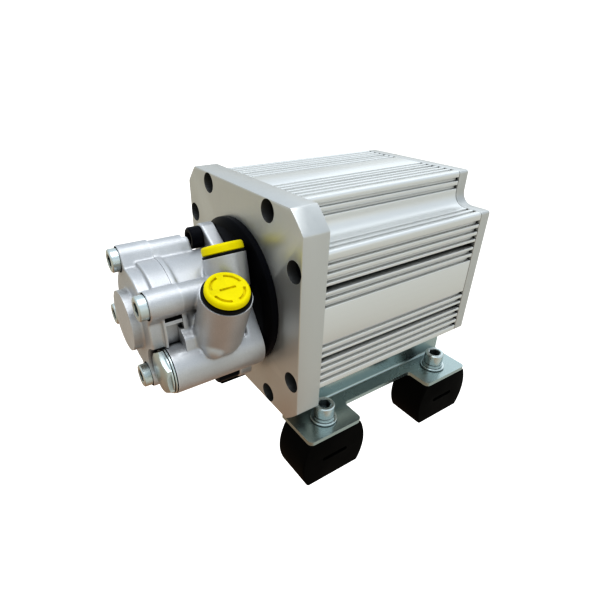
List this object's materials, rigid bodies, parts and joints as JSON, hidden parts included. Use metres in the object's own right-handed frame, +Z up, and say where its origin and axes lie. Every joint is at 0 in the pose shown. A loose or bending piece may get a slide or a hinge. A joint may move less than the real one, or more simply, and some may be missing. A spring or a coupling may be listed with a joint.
{
  "type": "hydraulic power unit",
  "caption": "Electro-hydraulic power unit: a square-flanged finned electric motor drives a vane pump with capped ports, on zinc rails with rubber feet.",
  "frame": {"origin": "on the ground, midway along and across the whole unit", "axes": "+Z up, +Y along the shaft from the pump end to the motor's rear cover, +X to the side of the flow-control valve"},
  "size_m": [0.181, 0.282, 0.215],
  "materials": {
    "machined": "satin machined",
    "extrusion": "satin extruded",
    "casting": "fine sand cast",
    "black_steel": "black oxide, satin",
    "zinc": "zinc plated",
    "steel": "ground",
    "laminate": "stacked laminations",
    "copper": "enamelled wire",
    "magnet": "matt",
    "bronze": "sintered",
    "yellow_plastic": "moulded",
    "seal": "matt",
    "rubber": "matt"
  },
  "bodies": {
    "housing": {"adaptor_disc": "black_steel", "cam_ring": "steel", "cover_screw_left": "zinc", "cover_screw_lower": "zinc", "cover_screw_right": "zinc", "cover_screw_upper": "zinc", "foot_front_left": "rubber", "foot_front_right": "rubber", "foot_rail_left": "zinc", "foot_rail_right": "zinc", "foot_rear_left": "rubber", "foot_rear_right": "rubber", "foot_screw_front_left": "zinc", "foot_screw_front_right": "zinc", "foot_screw_rear_left": "zinc", "foot_screw_rear_right": "zinc", "front_bearing_outer": "steel", "front_flange": "machined", "motor_housing": "extrusion", "mount_screw_lower": "black_steel", "mount_screw_upper": "black_steel", "power_connector": "zinc", "pressure_plate_front": "steel", "pressure_plate_rear": "steel", "pump_body": "casting", "pump_bush": "bronze", "pump_cover": "casting", "pump_shaft_seal": "seal", "rear_bearing_outer": "steel", "rear_cover": "machined", "stator_core": "laminate", "valve_plug": "zinc", "valve_plug_washer": "zinc", "valve_spring": "steel", "winding_front": "copper", "winding_rear": "copper"},
    "rotor": {"motor_shaft": "steel", "rotor_core": "laminate", "magnet_sleeve": "magnet", "front_bearing_inner": "steel", "rear_bearing_inner": "steel", "drive_coupling": "steel"},
    "pump_rotor": {"pump_shaft": "steel", "vane_rotor": "steel", "vane_01": "steel", "vane_02": "steel", "vane_03": "steel", "vane_04": "steel", "vane_05": "steel", "vane_06": "steel", "vane_07": "steel", "vane_08": "steel", "vane_09": "steel", "vane_10": "steel"},
    "spool": {"valve_spool": "steel"},
    "outlet_plug": {"outlet_plug": "yellow_plastic", "outlet_seal": "seal"},
    "inlet_plug": {"inlet_plug": "yellow_plastic", "inlet_seal": "seal"}
  },
  "joints": [
    {"name": "rotor_spin", "type": "hinge", "parent": "housing", "child": "rotor", "pos_m": [0, -0.053, 0.135], "axis": [0, 1, 0], "continuous": true},
    {"name": "pump_spin", "type": "hinge", "parent": "housing", "child": "pump_rotor", "pos_m": [0, -0.053, 0.135], "axis": [0, 1, 0], "continuous": true},
    {"name": "spool_slide", "type": "slide", "parent": "housing", "child": "spool", "axis": [0, 1, 0], "range_m": [0, 0.009], "stiffness_N_per_m": 1500, "springref_m": -0.006, "deforming": ["valve_spring"]},
    {"name": "outlet_plug_pull", "type": "slide", "parent": "housing", "child": "outlet_plug", "axis": [0.3907, 0, 0.9205], "range_m": [0, 0.022]},
    {"name": "inlet_plug_pull", "type": "slide", "parent": "housing", "child": "inlet_plug", "axis": [-0.4226, 0, 0.9063], "range_m": [0, 0.022]}
  ],
  "couplings": [
    {"joint": "pump_spin", "follows": "rotor_spin", "ratio": 1}
  ]
}
